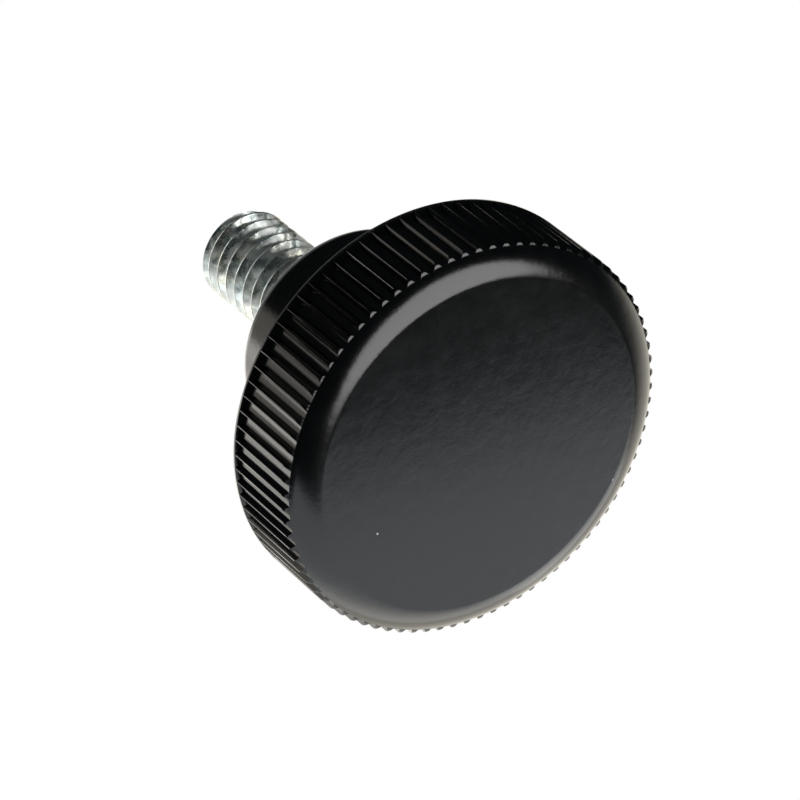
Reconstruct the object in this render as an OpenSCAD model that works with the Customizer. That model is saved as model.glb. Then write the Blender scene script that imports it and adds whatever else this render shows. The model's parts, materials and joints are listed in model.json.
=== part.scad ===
// Knurled knob: a moulded head on a threaded stud.
// It stands on its flat face at z = 0 and the stud points up along +Z.

/* [Head] */
// Diameter over the tooth crests
head_d = 25; // [20:0.5:50]
// Width of the rounded shoulder, from the flat of the face to the groove bottoms
shoulder_w = 1.62; // [0.9:0.01:4]
// Rise of the rounded shoulder from the face to the teeth
shoulder_h = 0.8; // [0.4:0.05:1.6]
// Thickness of the head, from the face to its back
head_t = 6.4; // [4:0.1:12]

/* [Teeth] */
// Number of teeth round the rim
teeth = 84; // [40:1:140]
// Depth of a groove below the crests
tooth_depth = 0.33; // [0.2:0.01:0.8]
// Width of the land on a crest
crest_land = 0.08; // [0.04:0.01:0.3]
// Plain rim left behind the grooves
rim_w = 0.18; // [0.1:0.02:1]
// Radius in which a groove runs out at the back
runout_r = 0.9; // [0.6:0.05:2]

/* [Hub] */
// Diameter of the hub
hub_d = 14; // [11:0.5:20]
// Height from the face to the end of the hub
hub_end = 15; // [10:0.5:30]
// Rounding of the hub's end edge
hub_round = 0.7; // [0.2:0.1:2]
// Fillet between the back of the head and the hub
hub_fillet = 1.2; // [0.4:0.1:3]

/* [Stud] */
// Thread diameter
stud_d = 6; // [4:1:8]
// Length standing out of the hub
stud_out = 12; // [6:1:40]
// Chamfer on the end of the stud
stud_chamfer = 0.6; // [0.2:0.1:1.5]
// Width across the flats of the hidden hexagon head
anchor_af = 9; // [7:0.5:10.5]
// Thickness of the hidden hexagon head
anchor_t = 4; // [2:0.5:6]
// How far the shank in the plastic stands out round the thread
shank_step = 0.2; // [0.1:0.05:1]
// Plastic left between the face and the hidden head
face_cover = 3.2; // [2:0.1:8]

/* [Hidden] */
$fn = 128;
// how far solids run into each other, and cuts run past what they cut
over = 0.5;
crest_r = head_d / 2;
root_r = crest_r - tooth_depth;
face_r = root_r - shoulder_w;
hub_r = hub_d / 2;
// arc leaving the flat without a break and ending at the groove bottoms
shoulder_r = (shoulder_w * shoulder_w + shoulder_h * shoulder_h) / (2 * shoulder_h);
// how far a groove bottom's ends are cut below it, so that nothing is left standing there
break_in = 0.02;
// rounded front ends of the teeth
tooth_round = tooth_depth + break_in;
// where a tooth's two flanks would meet, above its crest
root_pitch = 2 * root_r * sin(180 / teeth);
apex_r = crest_r + tooth_depth * crest_land / (root_pitch - crest_land);
// length over which a groove runs out at the back
runout_len = sqrt(runout_r * runout_r - pow(runout_r - break_in - tooth_depth, 2));
groove_end = head_t - rim_w - runout_len;
rim_edge = 0.06;
stud_r = stud_d / 2;
shank_r = stud_r + shank_step;
stud_top = hub_end + stud_out;

// half section of the head and hub, before the grooves
module body_section() {
    square([face_r, head_t]);
    intersection() {
        translate([face_r, shoulder_r]) circle(r = shoulder_r);
        square([root_r + break_in, shoulder_h]);
    }
    translate([0, shoulder_h]) square([crest_r - tooth_round, head_t - shoulder_h]);
    translate([crest_r - tooth_round, shoulder_h + tooth_round]) circle(r = tooth_round);
    translate([0, shoulder_h + tooth_round])
        square([crest_r, head_t - shoulder_h - tooth_round - rim_edge]);
    translate([0, head_t - over]) square([crest_r - rim_edge, over]);
    translate([crest_r - rim_edge, head_t - rim_edge]) circle(r = rim_edge);
    square([hub_r, hub_end - hub_round]);
    square([hub_r - hub_round, hub_end]);
    translate([hub_r - hub_round, hub_end - hub_round]) circle(r = hub_round);
    difference() {
        translate([0, head_t - over]) square([hub_r + hub_fillet, hub_fillet + over]);
        translate([hub_r + hub_fillet, head_t + hub_fillet]) circle(r = hub_fillet);
    }
}

// saw-tooth ring outside the tooth flanks
module groove_ring() {
    difference() {
        circle(r = crest_r + over);
        polygon([for (i = [0:teeth - 1], s = [0, 1])
            let (a = (i + s / 2) * 360 / teeth, r = s == 0 ? apex_r : root_r)
            [r * cos(a), r * sin(a)]]);
    }
}

// length of the grooves, with the curved run-out at the back
module groove_zone() {
    rotate_extrude() {
        translate([root_r - over, -over]) square([tooth_depth + 3 * over, groove_end + over]);
        translate([root_r + runout_r - break_in, groove_end]) circle(r = runout_r);
    }
}

module stud_solid() {
    // hidden hexagon head that keeps the stud from turning
    translate([0, 0, face_cover])
        cylinder(d = anchor_af / cos(30), h = anchor_t, $fn = 6);
    // shank, flush with the end of the hub
    translate([0, 0, face_cover + anchor_t - over])
        cylinder(r = shank_r, h = hub_end - face_cover - anchor_t + over);
    translate([0, 0, hub_end - over])
        cylinder(r = stud_r, h = stud_out - stud_chamfer + over);
    translate([0, 0, stud_top - stud_chamfer])
        cylinder(r1 = stud_r, r2 = stud_r - stud_chamfer, h = stud_chamfer);
}

module knob_body() {
    color([0.06, 0.06, 0.065])
    difference() {
        rotate_extrude() body_section();
        intersection() {
            translate([0, 0, -over]) linear_extrude(height = head_t + over) groove_ring();
            groove_zone();
        }
        stud_solid();
    }
}

module threaded_stud() {
    color([0.7, 0.72, 0.7]) stud_solid();
}

knob_body();
threaded_stud();
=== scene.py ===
"""Looks of a knurled knob: a black moulded head with a fine-toothed rim, on a plated steel stud.

Everything is in metres, in the packed model's frame: the flat face lies at z = 0 and the stud points up.
"""

import json
import math

import bpy
from bpy.props import FloatProperty, FloatVectorProperty, IntProperty, PointerProperty
from mathutils import Matrix, Quaternion, Vector


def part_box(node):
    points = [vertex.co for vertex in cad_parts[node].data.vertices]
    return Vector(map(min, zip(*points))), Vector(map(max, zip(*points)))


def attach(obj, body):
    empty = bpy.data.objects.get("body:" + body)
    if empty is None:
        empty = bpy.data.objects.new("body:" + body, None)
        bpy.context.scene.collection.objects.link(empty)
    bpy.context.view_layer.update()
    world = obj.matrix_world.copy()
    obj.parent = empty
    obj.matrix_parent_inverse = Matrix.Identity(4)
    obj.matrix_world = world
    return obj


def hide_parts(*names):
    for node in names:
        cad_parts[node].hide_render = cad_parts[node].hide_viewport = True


bl_info = {
    "name": "Knurled Knob",
    "version": (1, 0, 0),
    "blender": (4, 5, 0),
    "location": "3D View > Sidebar > Knob",
    "description": "Builds the moulded head, the threaded stud and a plain studio for a knurled knob",
    "category": "Object",
}

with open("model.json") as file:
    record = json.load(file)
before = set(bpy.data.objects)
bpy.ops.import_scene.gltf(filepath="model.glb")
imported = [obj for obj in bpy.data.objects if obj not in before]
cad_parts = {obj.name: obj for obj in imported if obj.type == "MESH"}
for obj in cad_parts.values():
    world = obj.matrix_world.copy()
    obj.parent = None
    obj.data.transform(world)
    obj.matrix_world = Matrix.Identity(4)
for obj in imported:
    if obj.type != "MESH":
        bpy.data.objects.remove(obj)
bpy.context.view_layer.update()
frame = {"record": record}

MM = 0.001
BODY_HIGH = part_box("knob_body")[1]
STUD_LOW, STUD_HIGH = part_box("threaded_stud")
STUD_RADIUS = next(m["dims"]["r_mm"] for m in frame["record"]["mounts"] if m["name"] == "stud") * MM
SENSOR = 36.0


# ---------------------------------------------------------------- sizes and finishes

def length(name, description, default):
    """A size in metres."""
    return FloatProperty(name=name, description=description, default=default, min=0.0,
                         subtype="DISTANCE", unit="LENGTH", precision=5)


def angle(name, description, degrees):
    """An angle, given in degrees and kept in radians."""
    return FloatProperty(name=name, description=description, default=math.radians(degrees),
                         subtype="ANGLE", unit="ROTATION")


def tint(name, description, default):
    """A colour."""
    return FloatVectorProperty(name=name, description=description, default=default, size=3,
                               min=0.0, max=1.0, subtype="COLOR")


def amount(name, description, default, highest=1.0):
    """A plain number from 0."""
    return FloatProperty(name=name, description=description, default=default, min=0.0, max=highest)


class HeadSizes(bpy.types.PropertyGroup):
    """Sizes of the moulded head and hub"""
    crest_radius: length("Crest radius", "Axis to the tooth crests", BODY_HIGH.x)
    face_radius: length("Face radius", "Radius of the flat on the face", 10.55 * MM)
    shoulder_height: length("Shoulder height", "Rise of the rounded shoulder to the teeth", 0.8 * MM)
    shoulder_break: angle("Shoulder break", "Turn of the surface at the edge of the face", 7)
    head_thickness: length("Head thickness", "Face to the back of the head", 6.4 * MM)
    tooth_depth: length("Tooth depth", "Crest to groove bottom", 0.33 * MM)
    end_round: length("Tooth end rounding", "Radius of the front ends of the teeth", 0.35 * MM)
    rim_width: length("Rim width", "Plain rim behind the grooves", 0.18 * MM)
    rim_edge: length("Rim edge", "Rounding of the rim's back edge", 0.06 * MM)
    runout_radius: length("Run-out radius", "Curve in which a groove ends at the back", 0.7 * MM)
    hub_radius: length("Hub radius", "Radius of the hub", 7.0 * MM)
    hub_end: length("Hub end", "Face to the end of the hub", BODY_HIGH.z)
    hub_round: length("Hub rounding", "Rounding of the hub's end edge", 0.7 * MM)
    hub_fillet: length("Hub fillet", "Fillet between the head's back and the hub", 1.2 * MM)
    teeth: IntProperty(name="Teeth", description="Teeth round the rim", default=84, min=12, max=200)
    crest_land: amount("Crest land", "Share of half a pitch taken by half the crest", 0.086)
    tooth_foot: amount("Tooth foot", "Share of half a pitch where a flank meets the groove bottom", 0.5)
    root_round: amount("Root rounding", "Share of half a pitch rounded on each side of the foot", 0.06)


class StudSizes(bpy.types.PropertyGroup):
    """Sizes of the stud and of its hidden anchor"""
    tip: length("Tip", "Face to the end of the stud", STUD_HIGH.z)
    major_radius: length("Major radius", "Outside radius of the thread", STUD_RADIUS - 0.05 * MM)
    pitch: length("Pitch", "Rise of the thread in one turn", 1.0 * MM)
    thread_depth: length("Thread depth", "Crest to root of the thread", 0.6 * MM)
    chamfer: length("Chamfer", "Chamfer on the end of the thread", 0.6 * MM)
    shank_radius: length("Shank radius", "Radius of the plain shank in the plastic", STUD_RADIUS + 0.2 * MM)
    anchor_base: length("Anchor base", "Face to the hidden hexagon head", STUD_LOW.z)
    anchor_height: length("Anchor height", "Thickness of the hidden hexagon head", 4.0 * MM)
    anchor_radius: length("Anchor radius", "Axis to a corner of the hexagon head", STUD_HIGH.x)


class KnobFinish(bpy.types.PropertyGroup):
    """Colours and surface of the two pieces"""
    plastic: tint("Plastic", "Colour of the moulded plastic", (0.0016, 0.0017, 0.0018))
    plastic_roughness: amount("Plastic roughness", "Gloss of the moulded surface", 0.16)
    steel: tint("Steel", "Colour of the bright plating", (0.72, 0.80, 0.78))
    steel_warm: tint("Warm film", "Yellowish film on parts of the plating", (0.80, 0.80, 0.68))
    steel_frost: tint("Frosted plating", "Paler, duller patches of the plating", (0.90, 0.92, 0.89))
    steel_roughness: amount("Steel roughness", "Gloss of the plating", 0.25)


class StudioSettings(bpy.types.PropertyGroup):
    """Camera and floor"""
    tilt: angle("Tilt", "Angle between the stud and the line of sight", 43.3)
    roll: angle("Roll", "How far the stud leans to the left in the view", 50.52)
    distance: length("Camera distance", "Camera to the knob", 283.7 * MM)
    lens: amount("Lens", f"Focal length in millimetres on a {SENSOR:.0f} mm sensor", 225.0, 1000.0)
    aim_left: length("Aim left", "How far left of the knob's centre the camera aims", 4.146 * MM)
    aim_up: length("Aim up", "How far above the knob's centre the camera aims", 2.286 * MM)
    floor_radius: length("Floor radius", "Radius of the pale floor", 1.5)
    floor_colour: tint("Floor", "Colour of the pale floor", (0.86, 0.86, 0.85))


GROUPS = {"knob_head": HeadSizes, "knob_stud": StudSizes, "knob_finish": KnobFinish,
          "knob_studio": StudioSettings}


# ---------------------------------------------------------------- modelling helpers

# points closer together than this are one point
MERGE = 1e-7


def polar(radius, angle, height):
    """The point at that radius, angle and height round the Z axis."""
    return Vector((radius * math.cos(angle), radius * math.sin(angle), height))


def arc(centre, radius, start, end, steps):
    """Points (r, z) of an arc from start to end, both in radians."""
    angles = [start + (end - start) * i / steps for i in range(steps + 1)]
    return [(centre[0] + radius * math.cos(a), centre[1] + radius * math.sin(a)) for a in angles]


def start_piece(name, add, **settings):
    """Adds a primitive with nothing else selected, and names it."""
    bpy.ops.object.select_all(action="DESELECT")
    add(**settings)
    piece = bpy.context.object
    piece.name = piece.data.name = name
    return piece


def edit(select_mode="VERT"):
    """Into edit mode with everything selected."""
    bpy.ops.object.mode_set(mode="EDIT")
    bpy.ops.mesh.select_mode(type=select_mode)
    bpy.ops.mesh.select_all(action="SELECT")


def leave_edit():
    """Back to object mode."""
    bpy.ops.object.mode_set(mode="OBJECT")


def draw_section(name, points):
    """A chain of edges through the points (r, z), drawn on the XZ plane one extrusion at a time."""
    piece = start_piece(name, bpy.ops.mesh.primitive_plane_add, size=MM)
    edit()
    bpy.ops.mesh.merge(type="CENTER")
    bpy.ops.transform.translate(value=(points[0][0], 0, points[0][1]))
    for (r0, z0), (r1, z1) in zip(points, points[1:]):
        bpy.ops.mesh.extrude_vertices_move(TRANSFORM_OT_translate={"value": (r1 - r0, 0, z1 - z0)})
    leave_edit()
    rows = piece.data.attributes.new("row", "INT", "POINT")
    rows.data.foreach_set("value", range(len(points)))
    return piece


def wind(piece, steps, rise=0.0, turns=1):
    """Turns the section round the Z axis in that many steps a turn, rising by that much each turn."""
    turned = piece.modifiers.new("wind", "SCREW")
    turned.screw_offset = rise
    turned.iterations = turns
    turned.steps = turned.render_steps = steps
    turned.use_merge_vertices = True
    turned.merge_threshold = MERGE
    bpy.ops.object.modifier_apply(modifier=turned.name)


def tidy_mesh():
    """Merges doubles and turns every face outwards on the piece in hand."""
    edit()
    bpy.ops.mesh.remove_doubles(threshold=MERGE)
    bpy.ops.mesh.dissolve_degenerate(threshold=MERGE)
    bpy.ops.mesh.select_all(action="SELECT")
    bpy.ops.mesh.normals_make_consistent(inside=False)
    leave_edit()


def combine(piece, other, operation):
    """Boolean of piece with other, which is used up."""
    bpy.ops.object.select_all(action="DESELECT")
    piece.select_set(True)
    bpy.context.view_layer.objects.active = piece
    cut = piece.modifiers.new("combine", "BOOLEAN")
    cut.operation = operation
    cut.solver = "EXACT"
    cut.object = other
    bpy.ops.object.modifier_apply(modifier=cut.name)
    bpy.data.objects.remove(other)


def smooth(piece, angle):
    """Smooth shading with creases above that angle, in degrees."""
    bpy.ops.object.select_all(action="DESELECT")
    piece.select_set(True)
    bpy.context.view_layer.objects.active = piece
    bpy.ops.object.shade_smooth_by_angle(angle=math.radians(angle))


def hand_over(piece, node, material):
    """The piece stands for its CAD node, rides on the part and takes its finish."""
    piece.data.materials.clear()
    piece.data.materials.append(material)
    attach(piece, "root")
    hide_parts(node)


# ---------------------------------------------------------------- shader helpers

class Value:
    """A number that varies over a surface. Arithmetic on it adds Math nodes."""

    def __init__(self, shader, socket):
        self.shader, self.socket = shader, socket

    def _math(self, operation, *others):
        values = [o.socket if isinstance(o, Value) else o for o in others]
        made = self.shader.node("ShaderNodeMath", {"operation": operation}, values)
        return Value(self.shader, made.outputs[0])

    def __add__(self, other):
        return self._math("ADD", self, other)

    def __radd__(self, other):
        return self._math("ADD", other, self)

    def __sub__(self, other):
        return self._math("SUBTRACT", self, other)

    def __rsub__(self, other):
        return self._math("SUBTRACT", other, self)

    def __mul__(self, other):
        return self._math("MULTIPLY", self, other)

    def __rmul__(self, other):
        return self._math("MULTIPLY", other, self)

    def clamp(self, low, high):
        """The value held between low and high."""
        made = self.shader.node("ShaderNodeClamp", {}, {"Value": self, "Min": low, "Max": high})
        return Value(self.shader, made.outputs[0])

    def ramp(self, low, high):
        """0 below low, 1 above high, smooth between."""
        made = self.shader.node("ShaderNodeMapRange", {"interpolation_type": "SMOOTHSTEP"},
                                {"Value": self, "From Min": low, "From Max": high})
        return Value(self.shader, made.outputs[0])


class Shader:
    """Builds one node tree."""

    def __init__(self, tree):
        self.tree = tree
        tree.nodes.clear()

    def node(self, kind, settings, values):
        """A node of that kind: its settings first, then the values or links of its sockets."""
        made = self.tree.nodes.new(kind)
        for key, setting in settings.items():
            setattr(made, key, setting)
        for key, value in (values.items() if isinstance(values, dict) else enumerate(values)):
            value = value.socket if isinstance(value, Value) else value
            if isinstance(value, bpy.types.NodeSocket):
                self.tree.links.new(value, made.inputs[key])
            else:
                made.inputs[key].default_value = value
        return made

    def place(self):
        """Object coordinates, in metres."""
        return self.node("ShaderNodeTexCoord", {}, {}).outputs["Object"]

    def noise(self, size, detail, roughness):
        """Noise from 0 to 1 with features about size metres across."""
        made = self.node("ShaderNodeTexNoise", {},
                         {"Vector": self.place(), "Scale": 1 / size, "Detail": detail,
                          "Roughness": roughness})
        return Value(self, made.outputs[0])

    def blend(self, factor, first, second):
        """Mixes two colours, each a socket or three numbers."""
        first, second = [(*c, 1.0) if isinstance(c, tuple) else c for c in (first, second)]
        made = self.node("ShaderNodeMix", {"data_type": "RGBA"}, {0: factor, 6: first, 7: second})
        return made.outputs[2]

    def bump(self, height, strength, distance, normal=None):
        """A normal from a height."""
        values = {"Strength": strength, "Distance": distance, "Height": height}
        if normal is not None:
            values["Normal"] = normal
        return self.node("ShaderNodeBump", {}, values).outputs[0]


def new_material(name):
    """An empty node material and its Shader."""
    material = bpy.data.materials.new(name)
    material.use_nodes = True
    return material, Shader(material.node_tree)


# specks of dust on the face: x, y and radius in millimetres
DUST = ((-7.5, -1.9, 0.08), (3.4, 10.0, 0.05))
PALE_DUST = (0.5, 0.5, 0.48)


def moulded_plastic(finish):
    """Black moulded plastic with a fine grain, a faint mottling and a few specks of dust."""
    material, s = new_material("moulded_plastic")
    grain = s.noise(0.09 * MM, 3.0, 0.6)
    mottle = s.noise(1.3 * MM, 4.0, 0.62)
    cloud = s.noise(5 * MM, 2.0, 0.5)
    rough = (finish.plastic_roughness + (mottle - 0.5) * 0.06 + (cloud - 0.5) * 0.04
             + (grain - 0.5) * 0.06).clamp(0.08, 0.8)
    dark = tuple(finish.plastic)
    light = tuple(1.5 * c for c in dark)
    colour = s.blend(mottle.ramp(0.35, 0.7), dark, light)
    for x, y, radius in DUST:
        centre = (x * MM, y * MM, 0)
        apart = s.node("ShaderNodeVectorMath", {"operation": "DISTANCE"}, [s.place(), centre])
        speck = 1 - Value(s, apart.outputs["Value"]).ramp(0.5 * radius * MM, radius * MM)
        colour = s.blend(speck, colour, PALE_DUST)
    normal = s.bump(grain, 0.6, 0.006 * MM)
    normal = s.bump(mottle, 1.0, 0.012 * MM, normal)
    surface = s.node("ShaderNodeBsdfPrincipled", {},
                     {"Base Color": colour, "Roughness": rough, "Normal": normal, "IOR": 1.5})
    s.node("ShaderNodeOutputMaterial", {}, {"Surface": surface.outputs[0]})
    return material


def plated_steel(finish):
    """Bright, lightly dimpled plating with a warm film in places and paler, duller frosted patches."""
    material, s = new_material("plated_steel")
    dimple = s.noise(0.8 * MM, 1.0, 0.5)
    frost = s.noise(0.8 * MM, 3.0, 0.5).ramp(0.42, 0.60)
    film = s.noise(1.8 * MM, 3.0, 0.55).ramp(0.42, 0.66)
    rough = (finish.steel_roughness + frost * 0.14).clamp(0.1, 0.7)
    bare = s.blend(film, tuple(finish.steel), tuple(finish.steel_warm))
    colour = s.blend(frost, bare, tuple(finish.steel_frost))
    metal = 0.95 - frost * 0.5
    normal = s.bump(dimple, 1.0, 0.08 * MM)
    surface = s.node("ShaderNodeBsdfPrincipled", {},
                     {"Base Color": colour, "Metallic": metal, "Roughness": rough, "Normal": normal})
    s.node("ShaderNodeOutputMaterial", {}, {"Surface": surface.outputs[0]})
    return material


# ---------------------------------------------------------------- moulded head

# rows of points along the front end of a tooth and along a groove's run-out, and steps of the other curves
END_ROWS = 6
RUNOUT_ROWS = 7
SHOULDER_STEPS = 12
ROUND_STEPS = 8
EDGE_STEPS = 3
# distance of the extra rows that hold a flat surface flat up to a rounding
HOLD = 0.05 * MM
# edges sharper than this stay crisp, in degrees
HEAD_CREASE = 28
THREAD_CREASE = 25


def tooth_columns(sizes):
    """(share of half a pitch from mid crest, radius) out to the middle of the groove.

    A rounded crest, a straight flank and a rounded foot lead down to the flat bottom of the groove.
    """
    land, foot, soft = sizes.crest_land, sizes.tooth_foot, sizes.root_round
    slope = sizes.tooth_depth / (foot - land)
    crest_end, root_start, root_end = 2 * land, foot - soft, foot + soft
    shares = [0, 0.9 * land, crest_end, (crest_end + root_start) / 2, root_start, foot, root_end, 1]

    def radius(share):
        if share <= crest_end:
            return sizes.crest_radius - slope * share * share / (4 * land)
        if share <= root_start:
            return sizes.crest_radius - slope * (share - land)
        left = max(0, root_end - share)
        return sizes.crest_radius - sizes.tooth_depth + slope * left ** 2 / (4 * soft)

    return [(share, radius(share)) for share in shares]


def shoulder_curve(sizes, root):
    """The rounded shoulder: a soft break at the edge of the face, then one arc to the groove bottoms."""
    width, rise = root - sizes.face_radius, sizes.shoulder_height
    chord = math.atan2(rise, width)
    first = sizes.shoulder_break
    last = 2 * chord - first
    radius = math.hypot(width, rise) / (2 * math.sin((last - first) / 2))
    centre = (sizes.face_radius - radius * math.sin(first), radius * math.cos(first))
    curve = arc(centre, radius, first - math.pi / 2, last - math.pi / 2, SHOULDER_STEPS)
    soft = 1.5 * HOLD
    lift = soft * math.tan(first / 2) / 2
    return [(sizes.face_radius - soft, 0), (sizes.face_radius, lift), *curve[1:]]


def head_section(sizes, stud):
    """The half section at a crest, and the rows where the teeth start and end and the hexagon starts."""
    root = sizes.crest_radius - sizes.tooth_depth
    points = [(0, 0), (sizes.face_radius * 0.5, 0), (sizes.face_radius - 2 * HOLD, 0)]
    points += shoulder_curve(sizes, root)
    first_tooth_row = len(points)
    # evenly spaced for now: shape_teeth puts these rows on the teeth
    tooth_row_count = END_ROWS + 1 + RUNOUT_ROWS
    tooth_length = sizes.head_thickness - sizes.rim_width - sizes.shoulder_height
    points += [(sizes.crest_radius, sizes.shoulder_height + tooth_length * (i + 1) / tooth_row_count)
               for i in range(tooth_row_count)]
    last_tooth_row = len(points) - 1
    edge = sizes.rim_edge
    back = sizes.head_thickness
    points += arc((sizes.crest_radius - edge, back - edge), edge, 0, math.pi / 2, EDGE_STEPS)
    fillet = sizes.hub_fillet
    points += [(sizes.crest_radius - edge - HOLD, back), (sizes.hub_radius + fillet + HOLD, back)]
    points += arc((sizes.hub_radius + fillet, back + fillet), fillet, -math.pi / 2, -math.pi, ROUND_STEPS)
    corner = sizes.hub_round
    points += [(sizes.hub_radius, back + fillet + HOLD), (sizes.hub_radius, sizes.hub_end - corner - HOLD)]
    points += arc((sizes.hub_radius - corner, sizes.hub_end - corner), corner, 0, math.pi / 2, ROUND_STEPS)
    hole = stud.shank_radius
    anchor_top = stud.anchor_base + stud.anchor_height
    points += [(sizes.hub_radius - corner - HOLD, sizes.hub_end), (hole + HOLD, sizes.hub_end),
               (hole, sizes.hub_end), (hole, anchor_top)]
    hexagon_row = len(points)
    points += [(stud.anchor_radius, anchor_top), (stud.anchor_radius, stud.anchor_base),
               (0, stud.anchor_base)]
    return points, first_tooth_row, last_tooth_row, hexagon_row


def tooth_rows(sizes, radius):
    """Points (r, z) along one column of the toothed rim whose flank lies at that radius."""
    end = sizes.end_round
    centre = sizes.crest_radius - end
    root = sizes.crest_radius - sizes.tooth_depth

    def end_angle(r):
        return -math.acos(min(1, (r - centre) / end))

    middle = (centre, sizes.shoulder_height + end)
    rows = arc(middle, end, end_angle(root), end_angle(radius), END_ROWS)[1:]
    curve = sizes.runout_radius
    reach = math.sqrt(curve ** 2 - (curve - sizes.tooth_depth) ** 2)
    start = sizes.head_thickness - sizes.rim_width - reach

    def runout_angle(r):
        return math.acos((root + curve - r) / curve)

    low, high = runout_angle(radius), runout_angle(sizes.crest_radius)
    turns = [low + (high - low) * i / RUNOUT_ROWS for i in range(RUNOUT_ROWS + 1)]
    return rows + [(root + curve - curve * math.cos(a), start + curve * math.sin(a)) for a in turns]


def shape_teeth(piece, sizes, columns, first, last, hexagon):
    """Moves the lathe-turned rim's columns onto the flanks, and the cavity's ring onto the hexagon."""
    pitch = 2 * math.pi / sizes.teeth
    outline = [(share * pitch / 2, tooth_rows(sizes, radius)) for share, radius in columns]
    per_tooth = 2 * (len(columns) - 1)
    total = per_tooth * sizes.teeth
    places = outline + [(pitch - angle, rows) for angle, rows in outline[-2:0:-1]]
    row_of = piece.data.attributes["row"].data
    for vertex in piece.data.vertices:
        row = row_of[vertex.index].value
        x, y, z = vertex.co
        radius = math.hypot(x, y)
        if radius < MERGE:
            continue
        column = round(math.atan2(y, x) / (2 * math.pi) * total) % total
        tooth, place = divmod(column, per_tooth)
        angle = tooth * pitch + places[place][0]
        if first <= row <= last:
            radius, z = places[place][1][row - first]
        elif row in (hexagon, hexagon + 1):
            side = math.radians(60)
            radius *= math.cos(side / 2) / math.cos(angle % side - side / 2)
        vertex.co = polar(radius, angle, z)


class KNOB_OT_head(bpy.types.Operator):
    """Model the moulded head with its toothed rim and hub"""
    bl_idname = "knob.head"
    bl_label = "Moulded Head"

    def execute(self, context):
        scene = context.scene
        sizes, stud = scene.knob_head, scene.knob_stud
        points, first, last, hexagon = head_section(sizes, stud)
        head = draw_section("moulded_head", points)
        columns = tooth_columns(sizes)
        wind(head, 2 * (len(columns) - 1) * sizes.teeth)
        shape_teeth(head, sizes, columns, first, last, hexagon)
        tidy_mesh()
        smooth(head, HEAD_CREASE)
        hand_over(head, "knob_body", moulded_plastic(scene.knob_finish))
        return {"FINISHED"}


# ---------------------------------------------------------------- threaded stud

# sides of the thread and the shank, and of the hidden anchor
THREAD_SIDES = 96
ANCHOR_SIDES = 6


def thread_profile(stud):
    """One pitch of a 60 degree thread, from mid crest to mid crest, softened at the crest and the root."""
    crest, depth, pitch = stud.major_radius, stud.thread_depth, stud.pitch
    flat = pitch / 16
    flank = depth * math.tan(math.radians(30))
    root_half = pitch / 2 - flat - flank
    worn = 0.03 * MM
    half = [(crest, 0), (crest, flat * 0.3), (crest - worn, flat * 1.15),
            (crest - depth * 0.5, flat + flank * 0.5), (crest - depth * 0.93, flat + flank * 0.93),
            (crest - depth, flat + flank + root_half * 0.45), (crest - depth, pitch / 2)]
    return half + [(r, pitch - z) for r, z in half[-2::-1]]


def turned_blank(name, outline, sides):
    """A solid of revolution: a cylinder on the first (r, z), then a ring pulled to each next point."""
    (r0, z0), (_, z1) = outline[:2]
    blank = start_piece(name, bpy.ops.mesh.primitive_cylinder_add, vertices=sides, radius=r0,
                        depth=z1 - z0, location=(0, 0, (z0 + z1) / 2))
    bpy.ops.object.transform_apply(location=True, rotation=False, scale=False)
    radius, height = r0, z1
    for r, z in outline[2:]:
        edit("FACE")
        bpy.ops.mesh.select_all(action="DESELECT")
        leave_edit()
        for face in blank.data.polygons:
            face.select = face.normal.z > 0.9 and face.center.z > height - MERGE
        bpy.ops.object.mode_set(mode="EDIT")
        bpy.ops.mesh.extrude_region_move(TRANSFORM_OT_translate={"value": (0, 0, z - height)})
        bpy.ops.transform.resize(value=(r / radius, r / radius, 1), center_override=(0, 0, z))
        leave_edit()
        radius, height = r, z
    return blank


class KNOB_OT_stud(bpy.types.Operator):
    """Model the threaded stud with its chamfered end and hidden anchor"""
    bl_idname = "knob.stud"
    bl_label = "Threaded Stud"

    def execute(self, context):
        scene = context.scene
        stud, hub_end = scene.knob_stud, scene.knob_head.hub_end
        # the thread starts inside the hub, and its helix runs past both planes that it is cut off at
        sunk = hub_end - stud.pitch / 2
        turns = math.ceil((stud.tip - sunk) / stud.pitch) + 3
        section = [(r, z + sunk - 1.5 * stud.pitch) for r, z in thread_profile(stud)]
        screw = draw_section("threaded_rod", section)
        wind(screw, THREAD_SIDES, stud.pitch, turns)
        clear = 0.1 * MM
        for height, normal in ((sunk, (0, 0, -1)), (stud.tip + clear, (0, 0, 1))):
            edit()
            bpy.ops.mesh.remove_doubles(threshold=MERGE)
            bpy.ops.mesh.select_all(action="SELECT")
            bpy.ops.mesh.bisect(plane_co=(0, 0, height), plane_no=normal, use_fill=True,
                                clear_outer=True, threshold=1e-8)
            leave_edit()
        tidy_mesh()
        outside = stud.major_radius + clear
        envelope = turned_blank("envelope", [(outside, sunk - MM),
                                             (outside, stud.tip - stud.chamfer - clear),
                                             (stud.major_radius - stud.chamfer, stud.tip)], THREAD_SIDES)
        combine(screw, envelope, "INTERSECT")
        shank = turned_blank("shank", [(stud.shank_radius, stud.anchor_base + MM),
                                       (stud.shank_radius, hub_end)], THREAD_SIDES)
        anchor_top = stud.anchor_base + stud.anchor_height
        anchor = turned_blank("anchor", [(stud.anchor_radius, stud.anchor_base),
                                         (stud.anchor_radius, anchor_top)], ANCHOR_SIDES)
        edit()
        bpy.ops.transform.rotate(value=math.radians(30), orient_axis="Z", center_override=(0, 0, 0))
        leave_edit()
        for part in (shank, anchor):
            combine(screw, part, "UNION")
        tidy_mesh()
        smooth(screw, THREAD_CREASE)
        hand_over(screw, "threaded_stud", plated_steel(scene.knob_finish))
        # the stud's own softboxes light nothing else
        lit = bpy.data.collections.new("lit_by_stud_softbox")
        lit.objects.link(screw)
        for name, *_ in STUD_SOFTBOXES:
            bpy.data.objects[name].light_linking.receiver_collection = lit
        return {"FINISHED"}


# ---------------------------------------------------------------- studio

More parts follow.
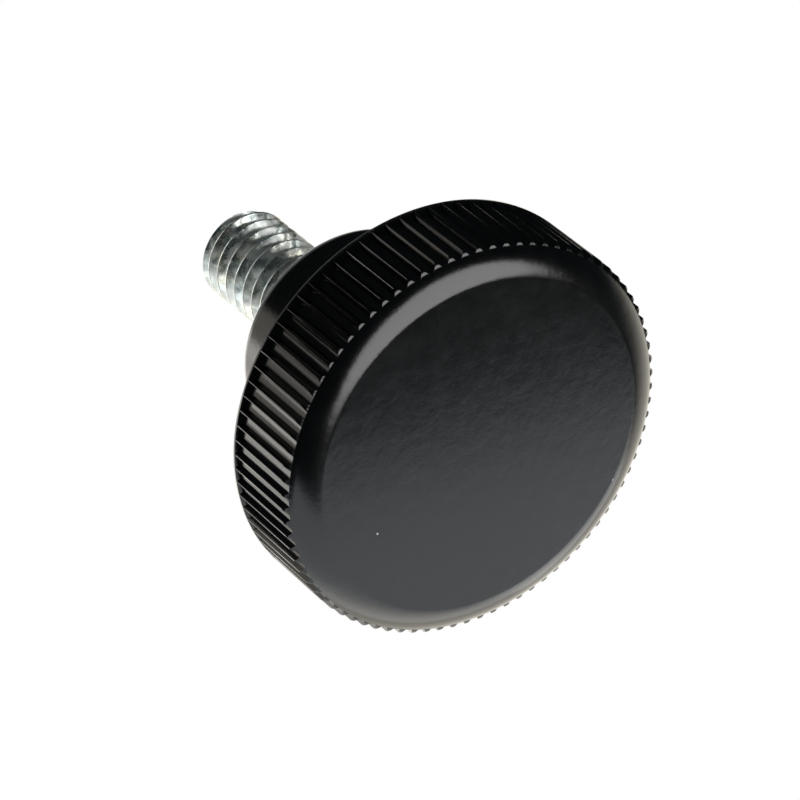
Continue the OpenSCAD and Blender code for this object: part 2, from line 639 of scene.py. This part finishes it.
# how far below the face the floor lies, and how brightly it shines of its own
FLOOR_DROP = 0.02 * MM
FLOOR_GLOW = 0.68
FLOOR_GLOW_COLOUR = (1, 1, 0.99, 1)


def floor_material(colour):
    """A pale floor, solid from above and clear from below, whose own glow keeps it even and white."""
    material, s = new_material("pale_floor")
    paper = s.noise(40 * MM, 3.0, 0.5)
    tone = s.blend(paper.ramp(0.3, 0.7), tuple(0.97 * c for c in colour), tuple(colour))
    solid = s.node("ShaderNodeBsdfPrincipled", {},
                   {"Base Color": tone, "Roughness": 0.8,
                    "Emission Color": FLOOR_GLOW_COLOUR, "Emission Strength": FLOOR_GLOW})
    clear = s.node("ShaderNodeBsdfTransparent", {}, {})
    side = s.node("ShaderNodeNewGeometry", {}, {}).outputs["Backfacing"]
    mixed = s.node("ShaderNodeMixShader", {}, [side, solid.outputs[0], clear.outputs[0]])
    s.node("ShaderNodeOutputMaterial", {}, {"Surface": mixed.outputs[0]})
    return material


def view_axes(studio):
    """The camera's turn, and its right, up and forward directions."""
    rise = studio.tilt - math.pi / 2
    back = Vector((0, -math.cos(rise), math.sin(rise)))
    turn = (-back).to_track_quat("-Z", "Y") @ Quaternion((0, 0, 1), -studio.roll)
    return turn, turn @ Vector((1, 0, 0)), turn @ Vector((0, 1, 0)), -back


# where the glow lies as seen by the camera (right, up, towards it), and the cosines of its edge and core
GLOW_DIRECTION = (0.22, -0.42, -0.88)
GLOW_EDGE, GLOW_CORE = 0.42, 0.80
GLOW_STRENGTH, DIM_STRENGTH = 1.65, 0.025
GLOW_COLOUR, DIM_COLOUR = (1.0, 0.95, 0.84), (0.75, 0.95, 1.08)


def build_world(view):
    """White to the camera; for the light nearly dark, with a soft warm glow behind and below the knob."""
    world = bpy.context.scene.world or bpy.data.worlds.new("studio")
    bpy.context.scene.world = world
    world.use_nodes = True
    s = Shader(world.node_tree)
    direction = s.node("ShaderNodeTexCoord", {}, {}).outputs["Generated"]
    towards = tuple(view @ Vector(GLOW_DIRECTION).normalized())
    facing = s.node("ShaderNodeVectorMath", {"operation": "DOT_PRODUCT"}, [direction, towards])
    glow = Value(s, facing.outputs["Value"]).ramp(GLOW_EDGE, GLOW_CORE)
    tone = s.blend(glow.ramp(0.0, 0.3), DIM_COLOUR, GLOW_COLOUR)
    strength = DIM_STRENGTH + glow * GLOW_STRENGTH
    lit = s.node("ShaderNodeBackground", {}, {"Color": tone, "Strength": strength})
    white = s.node("ShaderNodeBackground", {}, {"Color": (1, 1, 1, 1), "Strength": 1.0})
    seen = s.node("ShaderNodeLightPath", {}, {}).outputs["Is Camera Ray"]
    mixed = s.node("ShaderNodeMixShader", {}, [seen, lit.outputs[0], white.outputs[0]])
    s.node("ShaderNodeOutputWorld", {}, {"Surface": mixed.outputs[0]})


# The lamps are placed as seen by the camera: a direction is (right, up, towards the camera).
# softboxes: name, direction, distance, width, radiance and colour
SOFTBOXES = (
    ("side_softbox", (0.748, -0.272, 0.606), 0.6, 0.57, 4.5, (1, 1, 1)),
    ("left_softbox", (-0.764, -0.251, -0.596), 0.2, 0.18, 2.5, (1, 0.97, 0.92)),
    ("left_fill", (-0.964, 0.065, -0.26), 0.2, 0.13, 1.0, (1, 0.95, 0.86)),
)
# the same, for softboxes that face the middle of the stud and light nothing else
STUD_SOFTBOXES = (
    ("stud_side_softbox", (0.85, -0.02, 0.52), 0.3, 0.17, 2.4, (1, 1, 0.98)),
    ("stud_edge_softbox", (-0.90, 0.38, -0.18), 0.3, 0.22, 1.6, (1, 1, 1)),
    ("stud_low_softbox", (0.14, -0.97, 0.10), 0.3, 0.24, 0.45, (1, 0.98, 0.84)),
)
# panels lying flat at the same depth below the knob: name, centre (right, towards the camera), width and
# length, all as shares of that depth, then slant in degrees and radiance
PANEL_DEPTH = 0.045
PANEL_COLOUR = (0.96, 0.99, 1.03)
PANELS = (
    ("low_panel", (0.44, -0.11), 2.4, 0.98, -22, 1.3),
    ("low_corner", (1.25, -0.66), 1.0, 0.8, 0, 2.0),
)
OVERHEAD_STRENGTH = 0.56
OVERHEAD_SPREAD = 66


def add_lamp(name, shape, across, back, radiance, colour):
    """An area lamp, hidden from the camera, whose surface is equally bright at any size."""
    lamp = bpy.data.lights.new(name, "AREA")
    lamp.shape = shape
    lamp.size, lamp.size_y = across, back
    area = across * back * (math.pi / 4 if shape == "ELLIPSE" else 1)
    lamp.energy = radiance * math.pi * area
    lamp.color = colour
    holder = bpy.data.objects.new(name, lamp)
    holder.rotation_mode = "QUATERNION"
    holder.visible_camera = False
    bpy.context.scene.collection.objects.link(holder)
    return holder


def add_softbox(name, centre, target, width, radiance, colour):
    """A round lamp at centre that faces target."""
    softbox = add_lamp(name, "ELLIPSE", width, width, radiance, colour)
    softbox.location = centre
    softbox.rotation_quaternion = (target - centre).to_track_quat("-Z", "Y")


def add_panel(name, view, centre, across, back, slant, radiance):
    """A rectangular lamp lying flat below the knob as the camera sees it, facing up, turned by slant."""
    panel = add_lamp(name, "RECTANGLE", across, back, radiance, PANEL_COLOUR)
    panel.location = view @ Vector(centre)
    axes = ((math.cos(slant), 0, math.sin(slant)), (-math.sin(slant), 0, math.cos(slant)), (0, -1, 0))
    panel.rotation_quaternion = Matrix([view @ Vector(axis) for axis in axes]).transposed().to_quaternion()


def add_overhead():
    """A broad even light from straight above."""
    lamp = bpy.data.lights.new("overhead", "SUN")
    lamp.energy, lamp.angle = OVERHEAD_STRENGTH, math.radians(OVERHEAD_SPREAD)
    bpy.context.scene.collection.objects.link(bpy.data.objects.new("overhead", lamp))


def place_lamps(view, stud_middle):
    """Softboxes round the knob and round its stud, a broad light above and two panels below."""
    for target, softboxes in ((Vector((0, 0, 0)), SOFTBOXES), (stud_middle, STUD_SOFTBOXES)):
        for name, direction, distance, width, radiance, colour in softboxes:
            centre = target + view @ Vector(direction) * distance
            add_softbox(name, centre, target, width, radiance, colour)
    add_overhead()
    depth = PANEL_DEPTH
    for name, (right, near), across, back, slant, radiance in PANELS:
        centre = (right * depth, -depth, near * depth)
        add_panel(name, view, centre, across * depth, back * depth, math.radians(slant), radiance)


class KNOB_OT_stage(bpy.types.Operator):
    """Set up the floor, the light and the camera"""
    bl_idname = "knob.stage"
    bl_label = "Studio"

    def execute(self, context):
        scene = context.scene
        studio, head, stud = scene.knob_studio, scene.knob_head, scene.knob_stud
        floor = start_piece("floor", bpy.ops.mesh.primitive_circle_add, vertices=128,
                            radius=studio.floor_radius, fill_type="NGON", location=(0, 0, -FLOOR_DROP))
        bpy.ops.object.transform_apply(location=True, rotation=False, scale=False)
        floor.data.materials.append(floor_material(studio.floor_colour))
        floor.visible_diffuse = floor.visible_glossy = False
        floor.visible_transmission = floor.visible_shadow = False
        turn, right, up, forward = view_axes(studio)
        build_world(turn)
        centre = Vector((0, 0, head.shoulder_height))
        aim = centre - right * studio.aim_left + up * studio.aim_up
        data = bpy.data.cameras.new("camera")
        data.lens, data.sensor_width = studio.lens, SENSOR
        data.clip_start, data.clip_end = 0.01, 10.0
        camera = bpy.data.objects.new("camera", data)
        camera.rotation_mode = "QUATERNION"
        camera.rotation_quaternion = turn
        camera.location = aim - forward * studio.distance
        scene.collection.objects.link(camera)
        scene.camera = camera
        place_lamps(turn, Vector((0, 0, (head.hub_end + stud.tip) / 2)))
        scene.view_settings.view_transform = "Standard"
        return {"FINISHED"}


# ---------------------------------------------------------------- add-on

class KNOB_PT_sidebar(bpy.types.Panel):
    """Sizes, finishes and the steps that build the knob"""
    bl_idname = "KNOB_PT_sidebar"
    bl_label = "Knurled Knob"
    bl_space_type = "VIEW_3D"
    bl_region_type = "UI"
    bl_category = "Knob"

    def draw(self, context):
        for operator in OPERATORS:
            self.layout.operator(operator.bl_idname)
        for name, group in GROUPS.items():
            box = self.layout.box()
            box.label(text=group.__doc__)
            for key in group.__annotations__:
                box.prop(getattr(context.scene, name), key)


OPERATORS = (KNOB_OT_stage, KNOB_OT_head, KNOB_OT_stud)
CLASSES = (*GROUPS.values(), *OPERATORS, KNOB_PT_sidebar)


def register():
    for cls in CLASSES:
        bpy.utils.register_class(cls)
    for name, group in GROUPS.items():
        setattr(bpy.types.Scene, name, PointerProperty(type=group))


def unregister():
    for name in GROUPS:
        delattr(bpy.types.Scene, name)
    for cls in reversed(CLASSES):
        bpy.utils.unregister_class(cls)


def main():
    register()
    bpy.ops.knob.stage()
    bpy.ops.knob.head()
    bpy.ops.knob.stud()


if __name__ == "__main__":
    main()
